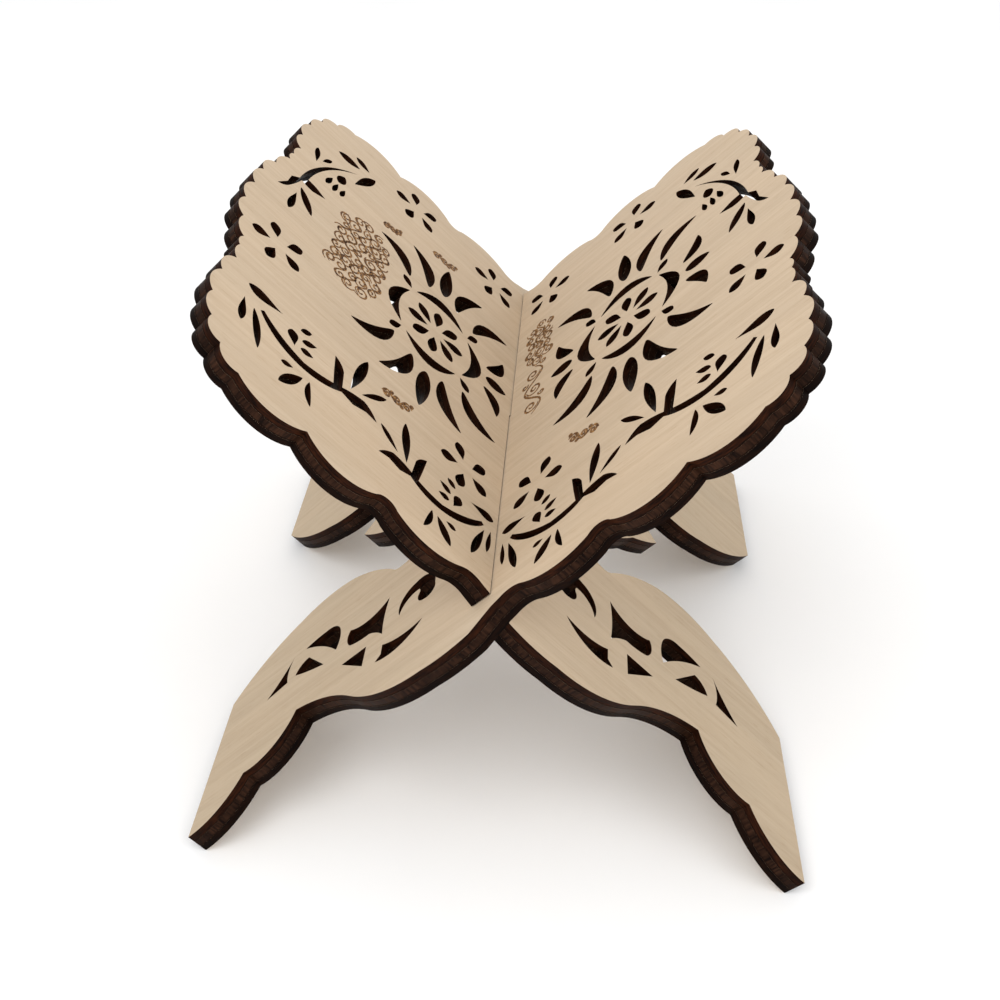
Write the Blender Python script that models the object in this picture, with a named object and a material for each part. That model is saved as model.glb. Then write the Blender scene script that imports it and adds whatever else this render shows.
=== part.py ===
"""Slotted plywood book stand: two pierced three-ply panels that cross at a right angle.

Every drawing is in millimetres on the face of a panel. u runs along the fold, from the
front (negative) to the back, and v runs up the slope, from the fold line where the two
upper faces meet (0) to the scalloped rim (positive) or down to the feet (negative).
"""

import math

import bpy
from mathutils import Matrix, Vector
from mathutils.geometry import tessellate_polygon

MM = 0.001

# Driving dimensions, in millimetres.
PLY = 1.8
GLUE_LINE = 0.3
THICKNESS = 3 * PLY + 2 * GLUE_LINE
SLOT_CLEARANCE = 0.3
SLOT_END = 2.0
PANEL_STAGGER = 2 * SLOT_END + 0.3
FOOT_V = -108.5
SLOPE = math.radians(45)

# The slot takes the other panel, which passes just under the fold line.
SLOT_TOP_V = SLOT_CLEARANCE
SLOT_BOTTOM_V = -THICKNESS - SLOT_CLEARANCE

# How far a straight edge may stray from the arc it stands for.
CHORD_ERROR = 0.4

# Blades up to these lengths have one, or two, points on each side between their tips.
SHORT_BLADE = 10.5
MEDIUM_BLADE = 20

# The back half of the rim: (u, v, bulge of the edge to the next point). Nine scallops and
# three long waves lead from the middle of the rim to the mouth of the slot.
LEAF_EDGE = [
    (0, 96, 2.0),
    (9.8, 96, 2.0),
    (18.5, 94, 1.6),
    (26.8, 91.2, 0.9),
    (31.3, 91, 1.0),
    (37.4, 90, 2.1),
    (46, 91.6, 2.0),
    (56, 91, 1.7),
    (64.2, 88.4, 2.1),
    (70.6, 83.7, 1.9),
    (75.3, 77, 3.5),
    (75.4, 57, 3.7),
    (76.5, 36, -1.5),
    (76.5, 29.5, 2.6),
    (76.6, 9.5, -0.8),
    (76.6, 3, 0),
    (77.6, SLOT_TOP_V, 0),
]

# From the mouth of the slot down the back leg, across its foot and up into the arch.
LEG_EDGE = [
    (81.8, SLOT_BOTTOM_V, 0.7),
    (83, -22, 2.4),
    (74, -48.5, -1.7),
    (63.8, -72.3, 3.8),
    (74.7, -90, 3.0),
    (85.5, FOOT_V, 0),
    (39.5, FOOT_V, 2.3),
    (22.6, -83, 1.8),
    (21, -60, 1.2),
    (31.6, -41.5, -0.6),
    (33, -37.5, -1.8),
    (27.5, -32, -1.6),
    (18, -38.5, 0.6),
    (7.5, -50.5, 0.4),
    (0, -61, 0.4),
]

# Cut-outs of the front leg, as closed outlines with bulged sides.
LEG_CUTS = [
    [
        (-63.2, -24.5, -2.7),
        (-67.6, -40.9, 0),
        (-66, -39.1, 0),
        (-62.6, -39.2, 1.4),
    ],
    [
        (-55.9, -25.2, 1.7),
        (-51.9, -21.8, 2.8),
        (-46.3, -29.9, 2.5),
        (-55.4, -34.4, -1.7),
        (-50.1, -27.8, -0.4),
        (-52.4, -27.8, 1.1),
    ],
    [
        (-57.9, -40.3, -0.6),
        (-44, -40.3, -2.4),
        (-45.9, -55.4, 1.2),
        (-52.7, -53.9, 0.4),
        (-53.8, -46.1, -0.4),
    ],
    [
        (-65.4, -46.2, 0),
        (-58.4, -46.2, 0),
        (-58.6, -55.7, 0),
    ],
    [
        (-49.9, -60.3, 0.6),
        (-42.5, -60.3, 1.7),
        (-37.7, -67.6, 0.3),
        (-38.8, -76, -1),
    ],
    [
        (-52.3, -64.7, 0),
        (-44, -73.1, 1),
        (-48, -77.7, 0.3),
    ],
    [
        (-48.6, -80.9, -1),
        (-38.8, -80.9, -0.6),
        (-49.9, -89.3, 0),
    ],
]

# One spray of the border: the forked vine and its leaves and buds, beside the upper front
# edge. A blade is (start, end, width, where along it is widest, bend).
SPRAY_VINE = [
    (-48.8, 78.9, -1.9),
    (-56.4, 63.5, -1.0),
    (-52.9, 52.2, 0),
    (-53.9, 48.4, 0),
    (-52.6, 44.4, 0),
    (-53.1, 40.8, -0.5),
    (-49.3, 45.6, -0.3),
    (-51.1, 52.4, 0),
    (-45.4, 53.2, -0.6),
    (-41.7, 56.9, 0),
    (-47.2, 56, 0),
    (-52.2, 55, 0.3),
    (-54, 63.8, 0.9),
    (-47.9, 78, 0),
]
SPRAY_BLADES = [
    ((-48.6, 83.8), (-57.6, 82.2), 2.3, 0.65, 0),
    ((-50, 80.5), (-62.4, 75.6), 2.3, 0.5, 0.3),
    ((-43.4, 73.4), (-42.8, 84.4), 3.6, 0.68, 0.3),
    ((-51, 67.6), (-45.8, 69.8), 3.3, 0.68, 0),
    ((-49.7, 62), (-50, 66), 2.2, 0.6, 0),
    ((-44.9, 62.1), (-47.1, 66.3), 2.2, 0.6, 0),
    ((-41.5, 64.7), (-43.6, 67.7), 2.1, 0.5, 0),
    ((-59.6, 62.7), (-67, 68), 3.1, 0.55, 0),
    ((-58.9, 65.8), (-59.8, 69.3), 1.8, 0.6, 0),
    ((-59.1, 60.7), (-67, 58.5), 1.9, 0.5, -0.6),
    ((-49, 50.2), (-33.4, 47.9), 3.1, 0.58, 0),
    ((-47.7, 46.9), (-41.6, 39.9), 2.0, 0.6, 0),
]

# The longer spray that lies along the back of the rim.
BACK_VINE = [
    (52.1, 70.6, -2.7),
    (24.4, 83.6, 0.2),
    (23.8, 79.8, 0),
    (22.3, 76.6, 0),
    (20.4, 80.8, 0.3),
    (21.2, 85.2, 0.2),
    (12.8, 87.9, 0.4),
    (9.8, 91, 0),
    (14.5, 88.7, 0),
    (19, 88.4, 0),
    (21.6, 86.1, 3.5),
]
BACK_BLADES = [
    ((17.4, 84.4), (7.8, 78.1), 3.0, 0.5, 0),
    ((13.0, 84.8), (2.4, 85.0), 2.4, 0.65, 0),
    ((38.2, 84.2), (46.8, 85.6), 2.1, 0.62, 0),
    ((41.2, 82.5), (46.2, 79.9), 1.7, 0.6, 0),
    ((37.8, 75.2), (43.6, 74.0), 3.5, 0.45, 0),
    ((37.3, 77.4), (31.4, 78.7), 2.0, 0.6, 0),
    ((36.6, 75.0), (30.4, 75.8), 1.8, 0.6, 0),
    ((36.4, 72.2), (31.2, 73.0), 1.8, 0.6, 0),
    ((56.6, 70.8), (55.6, 79.4), 4.0, 0.55, 0),
    ((45.0, 70.4), (58.2, 64.6), 3.4, 0.6, 0),
    ((59.6, 67.4), (62.1, 73.4), 3.1, 0.6, 0),
]

# (centre u, centre v, radius, lean in degrees) of the five-petalled flowers.
FLOWERS = [
    (-17.7, 82.3, 8.8, 8),
    (-41.5, 12.6, 8.6, 8),
    (64.1, 47.5, 9.2, -2),
    (61.8, 12.3, 9.0, -2),
]

# How the lower front spray is made from the upper one, and its three leaves beside the fold,
# which are flatter so that they stay clear of the slot.
LOWER_SPRAY_SCALE = 0.893
LOWER_SPRAY_TURN = 2.7
LOWER_SPRAY_SHIFT = (-16.4, 77.0)
FOLD_BLADES = [
    ((-58.2, 4.3), (-69.6, 7.4), 2.3, 0.6, 0),
    ((-52.2, 9.6), (-52.4, 1.7), 3.0, 0.7, 0),
    ((-56.8, 2.2), (-65, 2.8), 1.5, 0.6, 0),
]

# The pierced medallion in the middle of a leaf: a rosette of petals inside a ring of
# crescents, with a spray of blades at each end of its length and at its head and foot.
# Each spray is drawn to the right of the centre and then turned to its place.
MEDALLION_CENTRES = {1: (6, 43.5), -1: (6, 30.5)}
ROSETTE_PETALS = 8
ROSETTE_PETAL = ((3.0, 0), (10.6, 0), 3.6, 0.62, 0)
RING_CRESCENT = ((11.6, -9.3), (11.6, 9.3), 4.2, 0.5, -4.4)
RING_DROP = ((15.8, 0), (21, 0), 2.8, 0.6, 0)
END_SPRAY = [
    ((22.2, 0), (38.6, 0), 5.0, 0.42, 0),
    ((20.0, 5.6), (35.2, 14.6), 4.8, 0.44, -2.8),
    ((16.6, 12.8), (26.6, 26.2), 4.6, 0.44, -3.0),
    ((20.0, -5.6), (35.2, -14.6), 4.8, 0.44, 2.8),
    ((16.6, -12.8), (26.6, -26.2), 4.6, 0.44, 3.0),
]
HEAD_SPRAY = [
    ((20.0, 0), (28, 0), 4.4, 0.42, 0),
    ((19.8, 5.0), (25.6, 14.2), 4.0, 0.44, -1.8),
    ((19.8, -5.0), (25.6, -14.2), 4.0, 0.44, 1.8),
]
# The left leaf has no head spray, because an engraving fills that place.
HEAD_SPRAY_ANGLES = {1: (90, 270), -1: (270,)}


def arc_points(start, end, bulge):
    """Points from start up to, but without, end on an arc that bulges to the left."""
    a = Vector(start)
    b = Vector(end)
    chord = b - a
    steps = math.ceil(math.sqrt(abs(bulge) / CHORD_ERROR))
    if steps < 2:
        return [a]
    turn = 4 * math.atan(2 * bulge / chord.length)
    left = Vector((-chord.y, chord.x)) / chord.length
    radius = chord.length / (2 * math.sin(turn / 2))
    centre = (a + b) / 2 - left * radius * math.cos(turn / 2)
    return [
        centre + Matrix.Rotation(-turn * i / steps, 2) @ (a - centre)
        for i in range(steps)
    ]


def bulged_outline(corners):
    """The closed outline through (u, v, bulge) corners."""
    points = []
    for here, after in zip(corners, corners[1:] + corners[:1]):
        points += arc_points(here[:2], after[:2], here[2])
    return points


def blade(start, end, width, widest, bend):
    """A pointed leaf, petal or scroll: two sides that swell between its two tips."""
    a = Vector(start)
    b = Vector(end)
    axis = b - a
    left = Vector((-axis.y, axis.x)) / axis.length
    power = math.log(0.5) / math.log(widest)
    count = 1 + (axis.length > SHORT_BLADE) + (axis.length > MEDIUM_BLADE)
    near = []
    far = []
    for i in range(1, count + 1):
        s = i / (count + 1) if count > 1 else widest
        middle = a + axis * s + left * 4 * bend * s * (1 - s)
        half = left * 0.5 * width * math.sin(math.pi * s**power) ** 0.7
        near.append(middle + half)
        far.append(middle - half)
    return [a] + near + [b] + far[::-1]


def flower(centre_u, centre_v, radius, lean):
    """Five petals with their points to the middle."""
    petals = []
    for i in range(5):
        angle = math.radians(90 + lean + 72 * i)
        out = Vector((math.cos(angle), math.sin(angle)))
        middle = Vector((centre_u, centre_v))
        tip = middle + out * 0.32 * radius
        petals.append(blade(tip, middle + out * radius, 0.4 * radius, 0.64, 0))
    return petals


def moved(loops, scale=(1, 1), shift=(0, 0)):
    """Loops scaled and shifted; a negative scale mirrors them."""
    return [
        [Vector((p[0] * scale[0] + shift[0], p[1] * scale[1] + shift[1])) for p in loop]
        for loop in loops
    ]


def turned(loops, degrees):
    """Loops turned about the origin."""
    rotation = Matrix.Rotation(math.radians(degrees), 2)
    return [[rotation @ point for point in loop] for loop in loops]


def border_holes():
    """The two front sprays, of which the lower is a smaller mirror image, and the back one."""
    spray = [bulged_outline(SPRAY_VINE)] + [blade(*b) for b in SPRAY_BLADES]
    scale = (LOWER_SPRAY_SCALE, -LOWER_SPRAY_SCALE)
    lower = turned(moved(spray[:1] + spray[4:], scale=scale), LOWER_SPRAY_TURN)
    lower = moved(lower, shift=LOWER_SPRAY_SHIFT) + [blade(*b) for b in FOLD_BLADES]
    back = [bulged_outline(BACK_VINE)] + [blade(*b) for b in BACK_BLADES]
    return spray + lower + back


def medallion_holes(side):
    """The scrollwork in the middle of the leaf."""
    loops = []
    for i in range(ROSETTE_PETALS):
        loops += turned([blade(*ROSETTE_PETAL)], 360 * i / ROSETTE_PETALS)
    for i in range(4):
        loops += turned([blade(*RING_CRESCENT)], 90 * i)
        loops += turned([blade(*RING_DROP)], 90 * i + 45)
    for angle in (0, 180):
        loops += turned([blade(*b) for b in END_SPRAY], angle)
    for angle in HEAD_SPRAY_ANGLES[side]:
        loops += turned([blade(*b) for b in HEAD_SPRAY], angle)
    return moved(loops, shift=MEDALLION_CENTRES[side])


def leg_holes():
    """The cut-outs of the front leg, and all but the lowest mirrored in the back leg."""
    front = [bulged_outline(cut) for cut in LEG_CUTS]
    return front + moved(front[:-1], scale=(-1, 1))


def leaf_and_leg_holes(side):
    """Every through hole of the right (+1) or the left (-1) panel."""
    flowers = [petal for spot in FLOWERS for petal in flower(*spot)]
    return border_holes() + flowers + medallion_holes(side) + leg_holes()


def mirrored_edge(edge):
    """The same edge on the front half, walked the other way, so its bulges stay outward."""
    bulges = [corner[2] for corner in edge[:-1]][::-1] + [0]
    return [(-u, v, bulge) for (u, v, _), bulge in zip(edge[::-1], bulges)]


def panel_outline(slot_side):
    """The outline of a panel whose slot opens to the back (+1) or to the front (-1)."""
    slot = [
        (slot_side * SLOT_END, SLOT_TOP_V, 0),
        (slot_side * SLOT_END, SLOT_BOTTOM_V, 0),
    ]
    back_slot = slot if slot_side > 0 else []
    front_slot = slot[::-1] if slot_side < 0 else []
    corners = LEAF_EDGE + back_slot + LEG_EDGE
    corners += mirrored_edge(LEG_EDGE)[1:]
    corners += front_slot + mirrored_edge(LEAF_EDGE)[:-1]
    return bulged_outline(corners)


def veneer_material(name, colour, roughness):
    """A matt wood finish."""
    material = bpy.data.materials.new(name)
    material.use_nodes = True
    shader = material.node_tree.nodes["Principled BSDF"]
    shader.inputs["Base Color"].default_value = (*colour, 1)
    shader.inputs["Roughness"].default_value = roughness
    shader.inputs["Metallic"].default_value = 0
    return material


def signed_area(points):
    """The area a loop encloses, negative when it runs clockwise."""
    pairs = zip(points, points[1:] + points[:1])
    return sum(a.x * b.y - b.x * a.y for a, b in pairs) / 2


def run_one_way(outline, holes):
    """The outline anticlockwise and the holes clockwise, so that every wall faces out."""
    loops = [outline if signed_area(outline) > 0 else outline[::-1]]
    return loops + [hole if signed_area(hole) < 0 else hole[::-1] for hole in holes]


def ply_sheet(name, loops, level, parent, material):
    """One veneer: the outline less its holes, thickened about its own level."""
    points = [point for loop in loops for point in loop]
    count = len(points)
    low, high = -PLY / 2 * MM, PLY / 2 * MM
    vertices = [(p.x * MM, p.y * MM, low) for p in points]
    vertices += [(p.x * MM, p.y * MM, high) for p in points]
    faces = []
    for corners in tessellate_polygon([[p.to_3d() for p in loop] for loop in loops]):
        if signed_area([points[i] for i in corners]) < 0:
            corners = corners[::-1]
        faces.append([i + count for i in corners])
        faces.append(corners[::-1])
    start = 0
    for loop in loops:
        ring = range(start, start + len(loop))
        for here, after in zip(ring, [*ring[1:], start]):
            faces.append((here, after, after + count, here + count))
        start += len(loop)
    mesh = bpy.data.meshes.new(name)
    mesh.from_pydata(vertices, [], faces)
    mesh.materials.append(material)
    sheet = bpy.data.objects.new(name, mesh)
    bpy.context.collection.objects.link(sheet)
    sheet.parent = parent
    sheet.location.z = level * MM
    return sheet


def panel(name, side, materials):
    """A panel: its leaf slopes up to the right (+1) or to the left (-1).

    Its parent empty stands on the fold line, with X along the fold and Y up the slope. The
    book side is -Z on the right panel and +Z on the left one.
    """
    across = math.cos(SLOPE) * side
    up = math.sin(SLOPE)
    along = Vector((0, 1, 0))
    slope = Vector((across, 0, up))
    normal = along.cross(slope)
    fold_height = -FOOT_V * up + THICKNESS * math.cos(SLOPE)
    place = Matrix((along, slope, normal)).transposed().to_4x4()
    place.translation = Vector((0, -side * PANEL_STAGGER / 2, fold_height)) * MM
    frame = bpy.data.objects.new(f"{name}_frame", None)
    frame.matrix_world = place
    bpy.context.collection.objects.link(frame)
    loops = run_one_way(panel_outline(side), leaf_and_leg_holes(side))
    for index, (layer, material) in enumerate(materials.items()):
        depth = PLY / 2 + index * (PLY + GLUE_LINE)
        ply_sheet(f"{name}_{layer}", loops, side * depth, frame, material)
    return frame


def clear_scene():
    """Removes whatever the scene starts with."""
    for item in list(bpy.data.objects):
        bpy.data.objects.remove(item, do_unlink=True)


def main():
    """Builds the right panel, which stays, and the left one, which slides out to the back."""
    clear_scene()
    materials = {
        "face_ply": veneer_material("birch_face", (0.65, 0.51, 0.35), 0.62),
        "core_ply": veneer_material("birch_core", (0.16, 0.085, 0.055), 0.7),
        "back_ply": veneer_material("birch_back", (0.58, 0.45, 0.31), 0.62),
    }
    panel("right_panel", 1, materials)
    panel("left_panel", -1, materials)


main()
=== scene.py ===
import math

import bpy
from mathutils import Matrix, Vector
from mathutils.geometry import tessellate_polygon


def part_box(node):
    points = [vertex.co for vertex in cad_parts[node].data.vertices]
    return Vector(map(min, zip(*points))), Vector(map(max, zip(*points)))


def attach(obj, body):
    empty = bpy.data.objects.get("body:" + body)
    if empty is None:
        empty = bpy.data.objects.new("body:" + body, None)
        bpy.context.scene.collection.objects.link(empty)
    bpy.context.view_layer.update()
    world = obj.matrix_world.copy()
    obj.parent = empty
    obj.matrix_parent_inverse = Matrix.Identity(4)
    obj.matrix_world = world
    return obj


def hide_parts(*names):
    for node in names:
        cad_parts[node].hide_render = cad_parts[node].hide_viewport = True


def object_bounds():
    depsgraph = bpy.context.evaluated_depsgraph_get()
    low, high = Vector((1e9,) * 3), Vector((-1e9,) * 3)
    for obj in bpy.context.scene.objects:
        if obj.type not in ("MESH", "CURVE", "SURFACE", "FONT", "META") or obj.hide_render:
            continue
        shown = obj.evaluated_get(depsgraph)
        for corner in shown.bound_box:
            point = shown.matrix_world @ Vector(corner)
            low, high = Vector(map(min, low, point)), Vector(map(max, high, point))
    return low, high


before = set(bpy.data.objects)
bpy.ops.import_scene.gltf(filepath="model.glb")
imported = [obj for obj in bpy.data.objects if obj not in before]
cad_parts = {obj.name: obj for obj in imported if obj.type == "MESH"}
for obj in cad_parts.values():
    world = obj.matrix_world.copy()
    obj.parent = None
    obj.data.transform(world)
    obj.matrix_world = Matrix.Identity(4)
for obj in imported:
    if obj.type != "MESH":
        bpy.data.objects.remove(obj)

CAD_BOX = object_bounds()

# The plywood book stand, finished. Its drawings are in millimetres on the face of a panel:
# u runs along the fold, from the front (negative) to the back, and v runs up the slope from
# the fold line where the two upper faces meet.
MM = 0.001

PLY = 1.8
GLUE_LINE = 0.3
THICKNESS = 3 * PLY + 2 * GLUE_LINE
SLOT_CLEARANCE = 0.3
SLOT_END = 2.0
FOOT_V = -108.5
SLOPE = math.radians(45)
SLOT_TOP_V = SLOT_CLEARANCE
SLOT_BOTTOM_V = -THICKNESS - SLOT_CLEARANCE

# How far a straight edge may stray from the arc it stands for.
CHORD_ERROR = 0.015

# Edges of a sheet that turn by more than this stay sharp.
SHARP_ANGLE = math.radians(35)

# Points on each side of a blade between its tips.
BLADE_POINTS = 13

# The width of the strip along every cut that the laser's heat reached.
SCORCH_WIDTH = 0.32

# How far the glue lines lie back from the cut edge.
GLUE_RECESS = 0.012

# The engraved lines lie in the face and stand just proud of it. A line is narrowest at its
# tips, which have this share of its width, and a small swell makes it widen soon after them.
ENGRAVED_WIDTH = 0.8
FILIGREE_WIDTH = 0.9 * ENGRAVED_WIDTH
ENGRAVING_TOP = 0.025
ENGRAVING_DEPTH = 0.06
ENGRAVED_TIP = 0.35
ENGRAVED_SWELL = 0.4
STEM_STEPS = 60

# A curl winds in to its eye: points in a turn, how far in it winds, and how evenly.
CURL_STEPS = 26
CURL_DEPTH = 0.86
CURL_EVENNESS = 0.85

SIDE_NAMES = {1: "right", -1: "left"}

# The camera, in metres and degrees.
CAMERA_PLACE = (0.01494, -0.29305, 0.26795)
CAMERA_HEADING = 9.42
CAMERA_DIP = 28.23
CAMERA_ROLL = -2.4
SENSOR_MM = 36
LENS_MM = 44.29
LENS_SHIFT = (0.1122, -0.1745)
NEAR_CLIP = 0.01

# The studio, in metres. A soft box is its place, its diameter and its watts.
WORLD_STRENGTH = 1.0
KEY_BOX = ((-0.35, -0.55, 0.85), 0.7, 3.0)
FILL_BOX = ((0.6, -0.35, 0.6), 0.8, 1.2)
LIGHT_AIM = (0, 0, 0.08)
FLOOR_REACH = 6.0
FLOOR_GAP = 0.0002

# Wood looks. Colours are linear, and a wood has a pale tone and a deep one.
FACE_WOOD = ((0.568, 0.455, 0.330), (0.522, 0.411, 0.293))
BACK_WOOD = ((0.50, 0.395, 0.28), (0.44, 0.34, 0.235))
CORE_WOOD = ((0.45, 0.35, 0.24), (0.38, 0.28, 0.19))
SCORCH = (0.10, 0.038, 0.014)
# Painted shade: a multiplier that darkens the wood of the legs towards their feet.
LEG_PAINTED_SHADE = (0.84, 0.84, 0.82)
WHITE = (1, 1, 1)

# Charred wood and glue, each from its darkest streaks to its lightest.
FACE_CHAR = ((0.0035, 0.0010, 0.0004), (0.042, 0.0126, 0.0044))
CORE_CHAR = ((0.0062, 0.0024, 0.0012), (0.046, 0.0205, 0.0110))
BACK_CHAR = ((0.0015, 0.0006, 0.0003), (0.0140, 0.0052, 0.0025))
GLUE_CHAR = ((0.004, 0.002, 0.0014), (0.020, 0.009, 0.005))
ENGRAVED_CHAR = ((0.024, 0.009, 0.004), (0.125, 0.050, 0.012), (0.34, 0.170, 0.045))

# Noise scales, in grains to the metre along a panel's own axes.
CLOUDS = (45, 14, 45)
BANDS = (520, 12, 520)
FIBRES = (2600, 70, 2600)
PORES = (4200, 210, 4200)
RAGGED_SCORCH = (900, 900, 900)
PATCHES = (110, 110, 60)
ALONG_PLY = (260, 260, 2800)
ACROSS_PLY = (1300, 1300, 220)
BURNT_GRAIN = (1300, 1300, 1300)
GLUE_GRIT = (2400, 2400, 2400)
PAPER = (9, 9, 9)

# The back half of the rim: (u, v, bulge of the edge to the next point). Nine scallops and
# three long waves lead from the middle of the rim to the mouth of the slot.
LEAF_EDGE = [
    (0, 96, 2.0),
    (9.8, 96, 2.0),
    (18.5, 94, 1.6),
    (26.8, 91.2, 0.9),
    (31.3, 91, 1.0),
    (37.4, 90, 2.1),
    (46, 91.6, 2.0),
    (56, 91, 1.7),
    (64.2, 88.4, 2.1),
    (70.6, 83.7, 1.9),
    (75.3, 77, 3.5),
    (75.4, 57, 3.7),
    (76.5, 36, -1.5),
    (76.5, 29.5, 2.6),
    (76.6, 9.5, -0.8),
    (76.6, 3, 0),
    (77.6, SLOT_TOP_V, 0),
]

# From the mouth of the slot down the back leg, across its foot and up into the arch.
LEG_EDGE = [
    (81.8, SLOT_BOTTOM_V, 0.7),
    (83, -22, 2.4),
    (74, -48.5, -1.7),
    (63.8, -72.3, 3.8),
    (74.7, -90, 3.0),
    (85.5, FOOT_V, 0),
    (39.5, FOOT_V, 2.3),
    (22.6, -83, 1.8),
    (21, -60, 1.2),
    (31.6, -41.5, -0.6),
    (33, -37.5, -1.8),
    (27.5, -32, -1.6),
    (18, -38.5, 0.6),
    (7.5, -50.5, 0.4),
    (0, -61, 0.4),
]

# Cut-outs of the front leg, as closed outlines with bulged sides.
LEG_CUTS = [
    [
        (-63.2, -24.5, -2.7),
        (-67.6, -40.9, 0),
        (-66, -39.1, 0),
        (-62.6, -39.2, 1.4),
    ],
    [
        (-55.9, -25.2, 1.7),
        (-51.9, -21.8, 2.8),
        (-46.3, -29.9, 2.5),
        (-55.4, -34.4, -1.7),
        (-50.1, -27.8, -0.4),
        (-52.4, -27.8, 1.1),
    ],
    [
        (-57.9, -40.3, -0.6),
        (-44, -40.3, -2.4),
        (-45.9, -55.4, 1.2),
        (-52.7, -53.9, 0.4),
        (-53.8, -46.1, -0.4),
    ],
    [
        (-65.4, -46.2, 0),
        (-58.4, -46.2, 0),
        (-58.6, -55.7, 0),
    ],
    [
        (-49.9, -60.3, 0.6),
        (-42.5, -60.3, 1.7),
        (-37.7, -67.6, 0.3),
        (-38.8, -76, -1),
    ],
    [
        (-52.3, -64.7, 0),
        (-44, -73.1, 1),
        (-48, -77.7, 0.3),
    ],
    [
        (-48.6, -80.9, -1),
        (-38.8, -80.9, -0.6),
        (-49.9, -89.3, 0),
    ],
]

# One spray of the border: the forked vine and its leaves and buds, beside the upper front
# edge. A blade is (start, end, width, where along it is widest, bend).
SPRAY_VINE = [
    (-48.8, 78.9, -1.9),
    (-56.4, 63.5, -1.0),
    (-52.9, 52.2, 0),
    (-53.9, 48.4, 0),
    (-52.6, 44.4, 0),
    (-53.1, 40.8, -0.5),
    (-49.3, 45.6, -0.3),
    (-51.1, 52.4, 0),
    (-45.4, 53.2, -0.6),
    (-41.7, 56.9, 0),
    (-47.2, 56, 0),
    (-52.2, 55, 0.3),
    (-54, 63.8, 0.9),
    (-47.9, 78, 0),
]
SPRAY_BLADES = [
    ((-48.6, 83.8), (-57.6, 82.2), 2.3, 0.65, 0),
    ((-50, 80.5), (-62.4, 75.6), 2.3, 0.5, 0.3),
    ((-43.4, 73.4), (-42.8, 84.4), 3.6, 0.68, 0.3),
    ((-51, 67.6), (-45.8, 69.8), 3.3, 0.68, 0),
    ((-49.7, 62), (-50, 66), 2.2, 0.6, 0),
    ((-44.9, 62.1), (-47.1, 66.3), 2.2, 0.6, 0),
    ((-41.5, 64.7), (-43.6, 67.7), 2.1, 0.5, 0),
    ((-59.6, 62.7), (-67, 68), 3.1, 0.55, 0),
    ((-58.9, 65.8), (-59.8, 69.3), 1.8, 0.6, 0),
    ((-59.1, 60.7), (-67, 58.5), 1.9, 0.5, -0.6),
    ((-49, 50.2), (-33.4, 47.9), 3.1, 0.58, 0),
    ((-47.7, 46.9), (-41.6, 39.9), 2.0, 0.6, 0),
]

# The longer spray that lies along the back of the rim.
BACK_VINE = [
    (52.1, 70.6, -2.7),
    (24.4, 83.6, 0.2),
    (23.8, 79.8, 0),
    (22.3, 76.6, 0),
    (20.4, 80.8, 0.3),
    (21.2, 85.2, 0.2),
    (12.8, 87.9, 0.4),
    (9.8, 91, 0),
    (14.5, 88.7, 0),
    (19, 88.4, 0),
    (21.6, 86.1, 3.5),
]
BACK_BLADES = [
    ((17.4, 84.4), (7.8, 78.1), 3.0, 0.5, 0),
    ((13.0, 84.8), (2.4, 85.0), 2.4, 0.65, 0),
    ((38.2, 84.2), (46.8, 85.6), 2.1, 0.62, 0),
    ((41.2, 82.5), (46.2, 79.9), 1.7, 0.6, 0),
    ((37.8, 75.2), (43.6, 74.0), 3.5, 0.45, 0),
    ((37.3, 77.4), (31.4, 78.7), 2.0, 0.6, 0),
    ((36.6, 75.0), (30.4, 75.8), 1.8, 0.6, 0),
    ((36.4, 72.2), (31.2, 73.0), 1.8, 0.6, 0),
    ((56.6, 70.8), (55.6, 79.4), 4.0, 0.55, 0),
    ((45.0, 70.4), (58.2, 64.6), 3.4, 0.6, 0),
    ((59.6, 67.4), (62.1, 73.4), 3.1, 0.6, 0),
]

# (centre u, centre v, radius, lean in degrees) of the five-petalled flowers.
FLOWERS = [
    (-17.7, 82.3, 8.8, 8),
    (-41.5, 12.6, 8.6, 8),
    (64.1, 47.5, 9.2, -2),
    (61.8, 12.3, 9.0, -2),
]

# How the lower front spray is made from the upper one, and its three leaves beside the fold,
# which are flatter so that they stay clear of the slot.
LOWER_SPRAY_SCALE = 0.893
LOWER_SPRAY_TURN = 2.7
LOWER_SPRAY_SHIFT = (-16.4, 77.0)
FOLD_BLADES = [
    ((-58.2, 4.3), (-69.6, 7.4), 2.3, 0.6, 0),
    ((-52.2, 9.6), (-52.4, 1.7), 3.0, 0.7, 0),
    ((-56.8, 2.2), (-65, 2.8), 1.5, 0.6, 0),
]

# The pierced medallion in the middle of a leaf: a rosette of petals inside a ring of
# crescents, with a spray of blades at each end of its length and at its head and foot.
# Each spray is drawn to the right of the centre and then turned to its place.
MEDALLION_CENTRES = {1: (6, 43.5), -1: (6, 30.5)}
ROSETTE_PETALS = 8
ROSETTE_PETAL = ((3.0, 0), (10.6, 0), 3.6, 0.62, 0)
RING_CRESCENT = ((11.6, -9.3), (11.6, 9.3), 4.2, 0.5, -4.4)
RING_DROP = ((15.8, 0), (21, 0), 2.8, 0.6, 0)
END_SPRAY = [
    ((22.2, 0), (38.6, 0), 5.0, 0.42, 0),
    ((20.0, 5.6), (35.2, 14.6), 4.8, 0.44, -2.8),
    ((16.6, 12.8), (26.6, 26.2), 4.6, 0.44, -3.0),
    ((20.0, -5.6), (35.2, -14.6), 4.8, 0.44, 2.8),
    ((16.6, -12.8), (26.6, -26.2), 4.6, 0.44, 3.0),
]
HEAD_SPRAY = [
    ((20.0, 0), (28, 0), 4.4, 0.42, 0),
    ((19.8, 5.0), (25.6, 14.2), 4.0, 0.44, -1.8),
    ((19.8, -5.0), (25.6, -14.2), 4.0, 0.44, 1.8),
]
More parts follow.
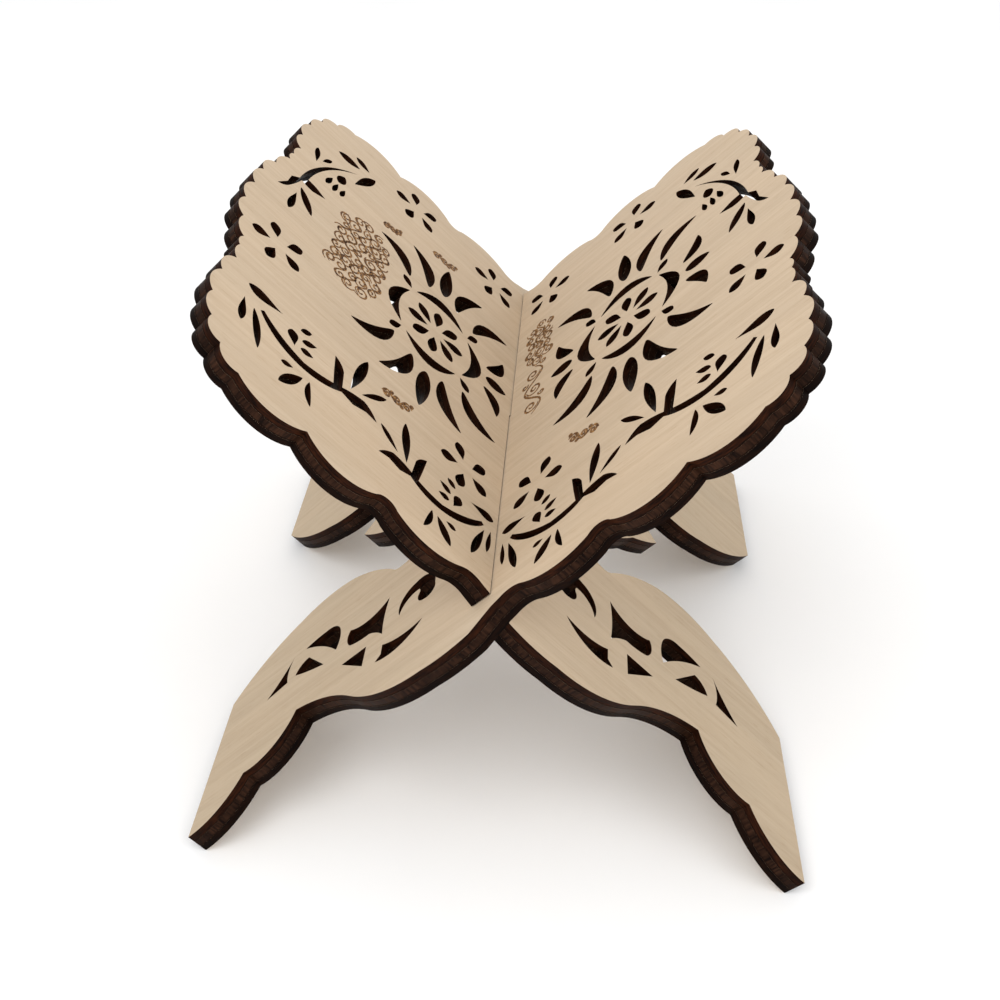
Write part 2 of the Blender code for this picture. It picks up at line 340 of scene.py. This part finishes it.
# The left leaf has no head spray, because an engraving fills that place.
HEAD_SPRAY_ANGLES = {1: (90, 270), -1: (270,)}


def arc_points(start, end, bulge):
    """Points from start up to, but without, end on an arc that bulges to the left."""
    a = Vector(start)
    b = Vector(end)
    chord = b - a
    steps = math.ceil(math.sqrt(abs(bulge) / CHORD_ERROR))
    if steps < 2:
        return [a]
    turn = 4 * math.atan(2 * bulge / chord.length)
    left = Vector((-chord.y, chord.x)) / chord.length
    radius = chord.length / (2 * math.sin(turn / 2))
    centre = (a + b) / 2 - left * radius * math.cos(turn / 2)
    return [
        centre + Matrix.Rotation(-turn * i / steps, 2) @ (a - centre)
        for i in range(steps)
    ]


def bulged_outline(corners):
    """The closed outline through (u, v, bulge) corners."""
    points = []
    for here, after in zip(corners, corners[1:] + corners[:1]):
        points += arc_points(here[:2], after[:2], here[2])
    return points


def blade(start, end, width, widest, bend):
    """A pointed leaf, petal or scroll: two sides that swell between its two tips."""
    a = Vector(start)
    b = Vector(end)
    axis = b - a
    left = Vector((-axis.y, axis.x)) / axis.length
    power = math.log(0.5) / math.log(widest)
    near = []
    far = []
    for i in range(1, BLADE_POINTS + 1):
        s = (1 - math.cos(math.pi * i / (BLADE_POINTS + 1))) / 2
        middle = a + axis * s + left * 4 * bend * s * (1 - s)
        half = left * 0.5 * width * math.sin(math.pi * s**power) ** 0.7
        near.append(middle + half)
        far.append(middle - half)
    return [a] + near + [b] + far[::-1]


def flower(centre_u, centre_v, radius, lean):
    """Five petals with their points to the middle."""
    petals = []
    for i in range(5):
        angle = math.radians(90 + lean + 72 * i)
        out = Vector((math.cos(angle), math.sin(angle)))
        middle = Vector((centre_u, centre_v))
        tip = middle + out * 0.32 * radius
        petals.append(blade(tip, middle + out * radius, 0.4 * radius, 0.64, 0))
    return petals


def moved(loops, scale=(1, 1), shift=(0, 0)):
    """Loops scaled and shifted; a negative scale mirrors them."""
    return [
        [Vector((p[0] * scale[0] + shift[0], p[1] * scale[1] + shift[1])) for p in loop]
        for loop in loops
    ]


def turned(loops, degrees):
    """Loops turned about the origin."""
    rotation = Matrix.Rotation(math.radians(degrees), 2)
    return [[rotation @ point for point in loop] for loop in loops]


def border_holes():
    """The two front sprays, of which the lower is a smaller mirror image, and the back one."""
    spray = [bulged_outline(SPRAY_VINE)] + [blade(*b) for b in SPRAY_BLADES]
    scale = (LOWER_SPRAY_SCALE, -LOWER_SPRAY_SCALE)
    lower = turned(moved(spray[:1] + spray[4:], scale=scale), LOWER_SPRAY_TURN)
    lower = moved(lower, shift=LOWER_SPRAY_SHIFT) + [blade(*b) for b in FOLD_BLADES]
    back = [bulged_outline(BACK_VINE)] + [blade(*b) for b in BACK_BLADES]
    return spray + lower + back


def medallion_holes(side):
    """The scrollwork in the middle of the leaf."""
    loops = []
    for i in range(ROSETTE_PETALS):
        loops += turned([blade(*ROSETTE_PETAL)], 360 * i / ROSETTE_PETALS)
    for i in range(4):
        loops += turned([blade(*RING_CRESCENT)], 90 * i)
        loops += turned([blade(*RING_DROP)], 90 * i + 45)
    for angle in (0, 180):
        loops += turned([blade(*b) for b in END_SPRAY], angle)
    for angle in HEAD_SPRAY_ANGLES[side]:
        loops += turned([blade(*b) for b in HEAD_SPRAY], angle)
    return moved(loops, shift=MEDALLION_CENTRES[side])


def leg_holes():
    """The cut-outs of the front leg, and all but the lowest mirrored in the back leg."""
    front = [bulged_outline(cut) for cut in LEG_CUTS]
    return front + moved(front[:-1], scale=(-1, 1))


def leaf_and_leg_holes(side):
    """Every through hole of the right (+1) or the left (-1) panel."""
    flowers = [petal for spot in FLOWERS for petal in flower(*spot)]
    return border_holes() + flowers + medallion_holes(side) + leg_holes()


def mirrored_edge(edge):
    """The same edge on the front half, walked the other way, so its bulges stay outward."""
    bulges = [corner[2] for corner in edge[:-1]][::-1] + [0]
    return [(-u, v, bulge) for (u, v, _), bulge in zip(edge[::-1], bulges)]


def panel_outline(slot_side):
    """The outline of a panel whose slot opens to the back (+1) or to the front (-1)."""
    slot = [
        (slot_side * SLOT_END, SLOT_TOP_V, 0),
        (slot_side * SLOT_END, SLOT_BOTTOM_V, 0),
    ]
    back_slot = slot if slot_side > 0 else []
    front_slot = slot[::-1] if slot_side < 0 else []
    corners = LEAF_EDGE + back_slot + LEG_EDGE
    corners += mirrored_edge(LEG_EDGE)[1:]
    corners += front_slot + mirrored_edge(LEAF_EDGE)[:-1]
    return bulged_outline(corners)


def signed_area(points):
    """The area a loop encloses, negative when it runs clockwise."""
    pairs = zip(points, points[1:] + points[:1])
    return sum(a.x * b.y - b.x * a.y for a, b in pairs) / 2


def run_one_way(outline, holes):
    """The outline anticlockwise and the holes clockwise, so that every wall faces out."""
    loops = [outline if signed_area(outline) > 0 else outline[::-1]]
    return loops + [hole if signed_area(hole) < 0 else hole[::-1] for hole in holes]


def offset_loop(loop, distance):
    """The loop moved to its left, into the wood, by a distance along mitred corners."""
    moved_loop = []
    for before, here, after in zip(loop[-1:] + loop[:-1], loop, loop[1:] + loop[:1]):
        first = (here - before).normalized()
        second = (after - here).normalized()
        mitre = Vector((-first.y - second.y, first.x + second.x))
        if mitre.length < 1e-6:
            mitre = first.copy()
        mitre.normalize()
        reach = max(0.45, -mitre.x * first.y + mitre.y * first.x)
        moved_loop.append(here + mitre * distance / reach)
    return moved_loop


def add_cap(loops, inner_loops, level, facing, vertices, faces, heat):
    """One face of a sheet: a scorched strip inside every cut, and the clean wood between.

    facing is +1 for the face towards +Z and -1 for the other. heat gets one number per
    vertex: 1 on the cut edge and 0 where the strip ends.
    """
    start = len(vertices)
    outer = [point for loop in loops for point in loop]
    inner = [point for loop in inner_loops for point in loop]
    vertices += [(p.x * MM, p.y * MM, level * MM) for p in outer + inner]
    heat += [1.0] * len(outer) + [0.0] * len(inner)
    first = start
    for loop in loops:
        ring = range(first, first + len(loop))
        for here, after in zip(ring, [*ring[1:], first]):
            face = (here, after, after + len(outer), here + len(outer))
            faces.append(face[::facing])
        first += len(loop)
    flat = [[p.to_3d() for p in loop] for loop in inner_loops]
    for corners in tessellate_polygon(flat):
        if signed_area([inner[i] for i in corners]) < 0:
            corners = corners[::-1]
        faces.append(tuple(i + start + len(outer) for i in corners)[::facing])


def sheet_mesh(name, loops, thickness, materials, scorch=SCORCH_WIDTH):
    """A sheet about its own level, with face material 0 on its faces and 1 on its cuts."""
    vertices = []
    faces = []
    heat = []
    inner_loops = [offset_loop(loop, scorch) for loop in loops]
    add_cap(loops, inner_loops, -thickness / 2, -1, vertices, faces, heat)
    upper = len(vertices)
    add_cap(loops, inner_loops, thickness / 2, 1, vertices, faces, heat)
    cap_faces = len(faces)
    first = 0
    for loop in loops:
        ring = range(first, first + len(loop))
        for here, after in zip(ring, [*ring[1:], first]):
            faces.append((here, after, after + upper, here + upper))
        first += len(loop)
    mesh = bpy.data.meshes.new(name)
    mesh.from_pydata(vertices, [], faces)
    attribute = mesh.attributes.new("heat", "FLOAT", "POINT")
    attribute.data.foreach_set("value", heat)
    for material in materials:
        mesh.materials.append(material)
    slots = [0] * cap_faces + [1] * (len(faces) - cap_faces)
    mesh.polygons.foreach_set("material_index", slots)
    mesh.polygons.foreach_set("use_smooth", [True] * len(faces))
    mesh.set_sharp_from_angle(angle=SHARP_ANGLE)
    mesh.update()
    return mesh


def place(name, mesh, matrix, body):
    """Puts a finished piece on its CAD body."""
    piece = bpy.data.objects.new(name, mesh)
    bpy.context.collection.objects.link(piece)
    piece.matrix_world = matrix
    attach(piece, body)
    return piece


def panel_matrix(side):
    """The panel's own axes: X along the fold, Y up its slope, Z square to its faces."""
    along = Vector((0, 1, 0))
    slope = Vector((math.cos(SLOPE) * side, 0, math.sin(SLOPE)))
    low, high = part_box(f"{SIDE_NAMES[side]}_panel_face_ply")
    fold_height = -FOOT_V * math.sin(SLOPE) + THICKNESS * math.cos(SLOPE)
    matrix = Matrix((along, slope, along.cross(slope))).transposed().to_4x4()
    matrix.translation = (0, (low[1] + high[1]) / 2, fold_height * MM)
    return matrix


# Wood and burnt wood. Colours are linear.


class Nodes:
    """A short way to write a material's nodes."""

    def __init__(self, name):
        self.material = bpy.data.materials.new(name)
        self.material.use_nodes = True
        self.tree = self.material.node_tree
        self.shader = self.tree.nodes["Principled BSDF"]
        self.position = self.add("ShaderNodeTexCoord").outputs["Object"]

    def add(self, kind, **settings):
        node = self.tree.nodes.new(kind)
        for key, value in settings.items():
            setattr(node, key, value)
        return node

    def link(self, value, socket):
        if isinstance(value, bpy.types.NodeSocket):
            self.tree.links.new(value, socket)
        else:
            socket.default_value = value

    def noise(self, scale, detail, roughness=0.5, distortion=0.0):
        """Noise whose grains measure 1/scale metres along each local axis."""
        mapping = self.add("ShaderNodeMapping")
        mapping.inputs["Scale"].default_value = scale
        self.link(self.position, mapping.inputs["Vector"])
        node = self.add("ShaderNodeTexNoise")
        self.link(mapping.outputs["Vector"], node.inputs["Vector"])
        node.inputs["Scale"].default_value = 1.0
        node.inputs["Detail"].default_value = detail
        node.inputs["Roughness"].default_value = roughness
        node.inputs["Distortion"].default_value = distortion
        return node.outputs["Fac"]

    def ramp(self, value, *stops):
        """A colour ramp through (position, grey or colour) stops."""
        node = self.add("ShaderNodeValToRGB")
        elements = node.color_ramp.elements
        while len(elements) < len(stops):
            elements.new(0.5)
        for element, (position, shade) in zip(elements, stops):
            element.position = position
            colour = (shade,) * 3 if isinstance(shade, (int, float)) else shade
            element.color = (*colour, 1)
        self.link(value, node.inputs["Fac"])
        return node.outputs["Color"]

    def mix(self, amount, first, second, blend="MIX"):
        node = self.add("ShaderNodeMix", data_type="RGBA", blend_type=blend)
        self.link(amount, node.inputs[0])
        for colour, socket in ((first, node.inputs[6]), (second, node.inputs[7])):
            is_colour = isinstance(colour, tuple)
            self.link((*colour, 1) if is_colour else colour, socket)
        return node.outputs[2]

    def maths(self, operation, first, second):
        node = self.add("ShaderNodeMath", operation=operation)
        self.link(first, node.inputs[0])
        self.link(second, node.inputs[1])
        return node.outputs["Value"]

    def bump(self, height, distance, strength):
        node = self.add("ShaderNodeBump")
        node.inputs["Distance"].default_value = distance
        node.inputs["Strength"].default_value = strength
        self.link(height, node.inputs["Height"])
        self.link(node.outputs["Normal"], self.shader.inputs["Normal"])


def birch_material(name, pale, deep):
    """Sanded birch: fine grain up the slope, pores, painted shade on the legs, and a scorched
    strip beside each cut.
    """
    n = Nodes(name)
    clouds = n.noise(CLOUDS, detail=3)
    bands = n.noise(BANDS, detail=5, roughness=0.55, distortion=0.35)
    fibres = n.noise(FIBRES, detail=4, roughness=0.6)
    pores = n.noise(PORES, detail=2)
    tone = n.mix(n.ramp(bands, (0.36, 0.0), (0.66, 1.0)), pale, deep)
    cloud_tint = n.ramp(clouds, (0.32, (1.05, 1.02, 0.99)), (0.7, (0.95, 0.94, 0.93)))
    tone = n.mix(0.8, tone, cloud_tint, blend="MULTIPLY")
    fibre_tint = n.ramp(fibres, (0.3, (0.93, 0.915, 0.89)), (0.62, (1.03, 1.03, 1.03)))
    tone = n.mix(0.75, tone, fibre_tint, blend="MULTIPLY")
    pore_tint = n.ramp(pores, (0.63, WHITE), (0.72, (0.80, 0.74, 0.66)))
    tone = n.mix(0.7, tone, pore_tint, blend="MULTIPLY")
    # Painted shade: the wood grows darker from the fold down towards the feet of the legs.
    axes = n.add("ShaderNodeSeparateXYZ")
    n.link(n.position, axes.inputs[0])
    height = n.maths("ADD", n.maths("MULTIPLY", axes.outputs["Y"], 8.0), 0.6)
    leg_painted_shade = n.ramp(height, (0.1, LEG_PAINTED_SHADE), (0.7, WHITE))
    tone = n.mix(1.0, tone, leg_painted_shade, blend="MULTIPLY")
    heat = n.add("ShaderNodeAttribute", attribute_name="heat").outputs["Fac"]
    ragged = n.maths("MULTIPLY", n.noise(RAGGED_SCORCH, detail=3), 0.42)
    reached = n.maths("ADD", n.maths("SUBTRACT", heat, 0.21), ragged)
    glow = n.ramp(reached, (0.10, 0.0), (0.42, 0.5), (0.68, 0.0))
    tone = n.mix(glow, tone, tuple(1.1 * c for c in pale))
    scorched = n.ramp(reached, (0.56, 0.0), (0.84, 0.75), (1.0, 1.0))
    tone = n.mix(scorched, tone, SCORCH)
    n.link(tone, n.shader.inputs["Base Color"])
    n.link(n.ramp(fibres, (0.25, 0.70), (0.75, 0.56)), n.shader.inputs["Roughness"])
    n.shader.inputs["Specular IOR Level"].default_value = 0.2
    relief = n.maths("ADD", fibres, n.maths("MULTIPLY", pores, -0.6))
    n.bump(relief, 0.00004, 0.7)
    return n.material


def burnt_edge_material(name, dark, light, streak_scale, gloss):
    """A laser-cut edge: charred wood with fine streaks."""
    n = Nodes(name)
    streaks = n.noise(streak_scale, detail=5, roughness=0.62)
    patches = n.noise(PATCHES, detail=3)
    tone = n.mix(n.ramp(streaks, (0.36, 0.0), (0.72, 1.0)), dark, light)
    patch_tint = n.ramp(patches, (0.35, (0.5, 0.46, 0.44)), (0.66, (1.3, 1.2, 1.15)))
    tone = n.mix(0.85, tone, patch_tint, blend="MULTIPLY")
    n.link(tone, n.shader.inputs["Base Color"])
    n.link(n.ramp(streaks, (0.3, gloss), (0.7, gloss + 0.22)), n.shader.inputs["Roughness"])
    n.shader.inputs["Specular IOR Level"].default_value = 0.04
    n.bump(streaks, 0.00008, 0.7)
    return n.material


def engraved_material():
    """Lines that the laser scanned into the face: brown, with darker and golden patches at
    random.
    """
    n = Nodes("engraved_line")
    burn = n.noise(BURNT_GRAIN, detail=4, roughness=0.6)
    dark, brown, golden = ENGRAVED_CHAR
    tone = n.ramp(burn, (0.36, dark), (0.48, brown), (0.62, golden))
    n.link(tone, n.shader.inputs["Base Color"])
    n.shader.inputs["Roughness"].default_value = 0.8
    n.bump(burn, 0.00005, 0.8)
    return n.material


def glue_material():
    """Charred glue between the veneers."""
    n = Nodes("charred_glue")
    grit = n.noise(GLUE_GRIT, detail=3)
    dark, light = GLUE_CHAR
    tone = n.ramp(grit, (0.35, dark), (0.7, light))
    n.link(tone, n.shader.inputs["Base Color"])
    n.shader.inputs["Roughness"].default_value = 0.9
    n.shader.inputs["Specular IOR Level"].default_value = 0.03
    n.bump(grit, 0.00006, 0.8)
    return n.material


# Engraved scrolls.


def curl(centre, radius, turns, start_degrees, hand):
    """A spiral from its open end to its eye."""
    steps = math.ceil(CURL_STEPS * turns)
    points = []
    for i in range(steps + 1):
        s = i / steps
        angle = math.radians(start_degrees) + hand * 2 * math.pi * turns * s
        reach = radius * (1 - CURL_DEPTH * s**CURL_EVENNESS)
        points.append(Vector(centre) + reach * Vector((math.cos(angle), math.sin(angle))))
    return points


def ribbon_loop(points, width):
    """The outline of a line of that width that thins towards both its ends."""
    near = []
    far = []
    last = len(points) - 1
    for i, point in enumerate(points):
        ahead = points[min(i + 1, last)] - points[max(i - 1, 0)]
        left = Vector((-ahead.y, ahead.x)).normalized()
        swell = math.sin(math.pi * (i / last)) ** ENGRAVED_SWELL
        half = 0.5 * width * (ENGRAVED_TIP + (1 - ENGRAVED_TIP) * swell)
        near.append(point + left * half)
        far.append(point - left * half)
    return near, far


def engraving_mesh(name, lines, material):
    """Flat lines just proud of the face, each a closed strip of four-cornered rings."""
    vertices = []
    faces = []
    sides = ((0, 1), (1, 3), (3, 2), (2, 0))
    for points, width in lines:
        near, far = ribbon_loop(points, width)
        start = len(vertices)
        for a, b in zip(near, far):
            for level in (ENGRAVING_TOP, ENGRAVING_TOP - ENGRAVING_DEPTH):
                vertices += [(a.x * MM, a.y * MM, level * MM), (b.x * MM, b.y * MM, level * MM)]
        for i in range(len(near) - 1):
            here = start + 4 * i
            there = here + 4
            for j, k in sides:
                faces.append((here + j, here + k, there + k, there + j))
        faces.append((start, start + 2, start + 3, start + 1))
        end = start + 4 * (len(near) - 1)
        faces.append((end, end + 1, end + 3, end + 2))
    mesh = bpy.data.meshes.new(name)
    mesh.from_pydata(vertices, [], faces)
    mesh.materials.append(material)
    return mesh


def wave(start, end, height, waves):
    """A wavy stem between two points."""
    a = Vector(start)
    b = Vector(end)
    axis = b - a
    left = Vector((-axis.y, axis.x)).normalized()
    return [
        a + axis * s + left * height * math.sin(2 * math.pi * waves * s)
        for s in (i / STEM_STEPS for i in range(STEM_STEPS + 1))
    ]


def scroll(start, end, height, waves):
    """A stem with a curl in each of its bends, and a bud beside each curl."""
    lines = [(wave(start, end, height, waves), ENGRAVED_WIDTH)]
    a = Vector(start)
    axis = Vector(end) - a
    along = axis.normalized()
    left = Vector((-along.y, along.x))
    heading = math.degrees(math.atan2(along.y, along.x))
    half_wave = axis.length / (2 * waves)
    curl_radius = 0.92 * height
    bud_radius = 0.42 * height
    for i in range(round(2 * waves)):
        side = 1 if i % 2 == 0 else -1
        eye = a + along * half_wave * (i + 0.5) - left * side * height * 0.15
        lines.append((curl(eye, curl_radius, 1.5, heading + 90 * side, side), ENGRAVED_WIDTH))
        bud = a + along * half_wave * (i + 1) + left * side * height * 1.05
        lines.append((curl(bud, bud_radius, 1.2, heading - 60 * side, -side), ENGRAVED_WIDTH))
    return lines


def thicket(centre, width, height, rows):
    """A dense oval filigree: rows of curls, alternately large and small, strung on stems."""
    middle = Vector(centre)
    lines = []
    row_gap = height / rows
    curl_gap = 1.15 * row_gap
    large = 0.72 * row_gap
    small = 0.52 * row_gap
    drop = 0.12 * row_gap
    roundness = 2.6
    for row in range(rows):
        v = (row + 0.5) * row_gap - height / 2
        reach = 0.5 * width * math.sqrt(1 - (v / height) ** 2 * roundness)
        left_end = middle + Vector((-reach, v))
        right_end = middle + Vector((reach, v))
        count = round(2 * reach / curl_gap)
        stem = wave(left_end, right_end, 0.42 * row_gap, count / 2)
        lines.append((stem, FILIGREE_WIDTH))
        for i in range(count):
            s = (i + 0.5) / count
            hand = 1 if (i + row) % 2 else -1
            size = large if (i + row) % 3 else small
            eye = left_end.lerp(right_end, s) + Vector((0, -drop * hand))
            lines.append((curl(eye, size, 1.4, 70 * i + 130 * row, hand), FILIGREE_WIDTH))
    return lines


def right_engraving():
    """Filigree and a scroll beside the fold of the right leaf, and loose curls."""
    lines = scroll((-6, 8.6), (20, 8.6), 3.2, 1.5)
    lines += thicket((33.5, 9.8), 26, 10.5, 3)
    lines += scroll((-37, 33), (-33, 23), 1.5, 1.5)
    return lines


def left_engraving():
    """Filigree above the medallion of the left leaf, and loose scrolls around it."""
    lines = thicket((10, 60.5), 40, 19, 5)
    lines += scroll((-39, 42), (-37.5, 32), 1.4, 1.5)
    lines += scroll((47.5, 38), (49, 28), 1.5, 1.5)
    lines += scroll((38, 57), (41, 50), 1.3, 1.5)
    return lines


ENGRAVINGS = {1: right_engraving, -1: left_engraving}


def finish_panel(side, looks):
    """The veneers, glue lines and engraving of one panel, on its CAD body."""
    body = f"{SIDE_NAMES[side]}_panel"
    matrix = panel_matrix(side)
    loops = run_one_way(panel_outline(side), leaf_and_leg_holes(side))
    for index, (layer, materials) in enumerate(looks["plies"].items()):
        depth = side * (PLY / 2 + index * (PLY + GLUE_LINE))
        name = f"{body}_{layer}_veneer"
        mesh = sheet_mesh(name, loops, PLY, materials)
        at = matrix @ Matrix.Translation((0, 0, depth * MM))
        piece = place(name, mesh, at, body)
        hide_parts(f"{body}_{layer}")
    glue_loops = [offset_loop(loop, GLUE_RECESS) for loop in loops]
    for index in range(2):
        depth = side * (PLY + GLUE_LINE / 2 + index * (PLY + GLUE_LINE))
        name = f"{body}_glue_line_{index + 1}"
        glue = [looks["glue"], looks["glue"]]
        mesh = sheet_mesh(name, glue_loops, GLUE_LINE, glue, scorch=GLUE_RECESS / 2)
        at = matrix @ Matrix.Translation((0, 0, depth * MM))
        place(name, mesh, at, body)
    mesh = engraving_mesh(f"{body}_engraving", ENGRAVINGS[side](), looks["engraved"])
    if side > 0:
        mesh.transform(Matrix.Scale(-1, 4, (0, 0, 1)))
        mesh.flip_normals()
    place(f"{body}_engraving", mesh, matrix, body)


def make_looks():
    """Every material of the stand."""
    face = birch_material("birch_face", *FACE_WOOD)
    back = birch_material("birch_back", *BACK_WOOD)
    core = birch_material("birch_core", *CORE_WOOD)
    face_edge = burnt_edge_material("charred_face_edge", *FACE_CHAR, ALONG_PLY, gloss=0.45)
    core_edge = burnt_edge_material("charred_core_edge", *CORE_CHAR, ACROSS_PLY, gloss=0.38)
    back_edge = burnt_edge_material("charred_back_edge", *BACK_CHAR, ALONG_PLY, gloss=0.5)
    plies = {
        "face_ply": (face, face_edge),
        "core_ply": (core, core_edge),
        "back_ply": (back, back_edge),
    }
    return {"plies": plies, "glue": glue_material(), "engraved": engraved_material()}


# Studio.


def floor_material():
    """Matt white paper."""
    n = Nodes("studio_paper")
    fibres = n.noise(PAPER, detail=6)
    n.link(n.ramp(fibres, (0.3, 0.93), (0.7, 0.97)), n.shader.inputs["Base Color"])
    n.shader.inputs["Roughness"].default_value = 0.9
    n.shader.inputs["Specular IOR Level"].default_value = 0.1
    return n.material


def add_floor():
    """A plain pale floor, well beyond the picture."""
    mesh = bpy.data.meshes.new("studio_floor")
    signs = ((-1, -1), (1, -1), (1, 1), (-1, 1))
    corners = [(x * FLOOR_REACH, y * FLOOR_REACH, 0) for x, y in signs]
    mesh.from_pydata(corners, [], [(0, 1, 2, 3)])
    mesh.materials.append(floor_material())
    floor = bpy.data.objects.new("studio_floor", mesh)
    bpy.context.collection.objects.link(floor)
    floor.location.z = CAD_BOX[0][2] - FLOOR_GAP


def add_area_light(name, place_m, size, watts):
    """A soft box that faces the middle of the stand."""
    light = bpy.data.lights.new(name, "AREA")
    light.shape = "DISK"
    light.size = size
    light.energy = watts
    lamp = bpy.data.objects.new(name, light)
    bpy.context.collection.objects.link(lamp)
    lamp.location = place_m
    aim = Vector(LIGHT_AIM) - Vector(place_m)
    lamp.rotation_euler = aim.to_track_quat("-Z", "Y").to_euler()


def light_studio():
    """A white surround and two soft boxes."""
    world = bpy.data.worlds.new("studio")
    world.use_nodes = True
    background = world.node_tree.nodes["Background"]
    background.inputs["Color"].default_value = (1.0, 1.0, 1.0, 1)
    background.inputs["Strength"].default_value = WORLD_STRENGTH
    bpy.context.scene.world = world
    add_area_light("key_box", *KEY_BOX)
    add_area_light("fill_box", *FILL_BOX)


def add_camera():
    """The camera stands in front of the stand, above it and a little to its right."""
    data = bpy.data.cameras.new("camera")
    data.sensor_width = SENSOR_MM
    data.lens = LENS_MM
    data.shift_x, data.shift_y = LENS_SHIFT
    data.dof.use_dof = False
    data.clip_start = NEAR_CLIP
    camera = bpy.data.objects.new("camera", data)
    bpy.context.collection.objects.link(camera)
    turn = Matrix.Rotation(math.radians(CAMERA_HEADING), 4, "Z")
    tilt = Matrix.Rotation(math.radians(90 - CAMERA_DIP), 4, "X")
    roll = Matrix.Rotation(math.radians(CAMERA_ROLL), 4, "Z")
    camera.matrix_world = Matrix.Translation(CAMERA_PLACE) @ turn @ tilt @ roll
    bpy.context.scene.camera = camera


looks = make_looks()
for side in SIDE_NAMES:
    finish_panel(side, looks)
add_floor()
light_studio()
add_camera()
bpy.context.scene.view_settings.view_transform = "Standard"
